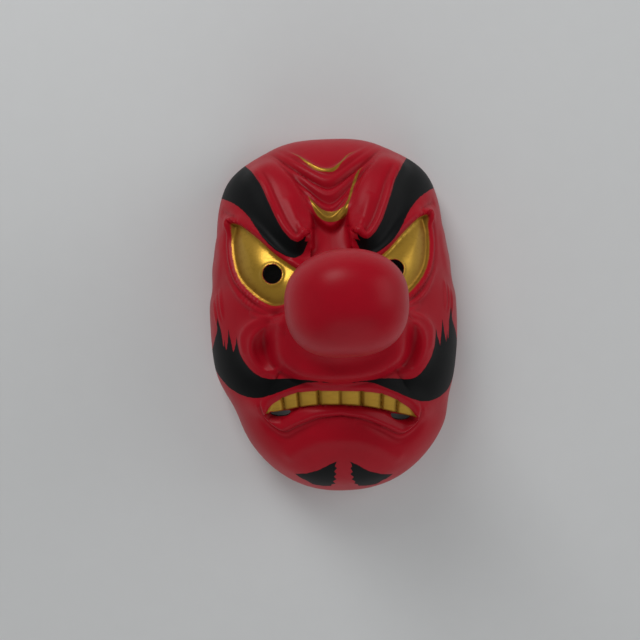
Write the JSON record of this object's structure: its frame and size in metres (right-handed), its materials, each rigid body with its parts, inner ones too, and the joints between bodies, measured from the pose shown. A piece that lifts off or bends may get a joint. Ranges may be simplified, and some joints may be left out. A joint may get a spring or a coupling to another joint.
{
  "type": "tengu mask",
  "caption": "Moulded red tengu mask with a long hollow nose, pierced eyes and mouth, open at the back, lying on its flat rim.",
  "frame": {"origin": "centre of the outline on the plane of the flat rim, under the face", "axes": "+Z out of the face along the nose, +Y to the forehead, +X to the wearer's left, which is the right in a front view"},
  "size_m": [0.176, 0.2498, 0.1903],
  "materials": {
    "red_paint": "satin red paint on moulded plastic, with black and gold painted detail"
  },
  "bodies": {
    "root": {"mask": "red_paint"}
  },
  "joints": []
}
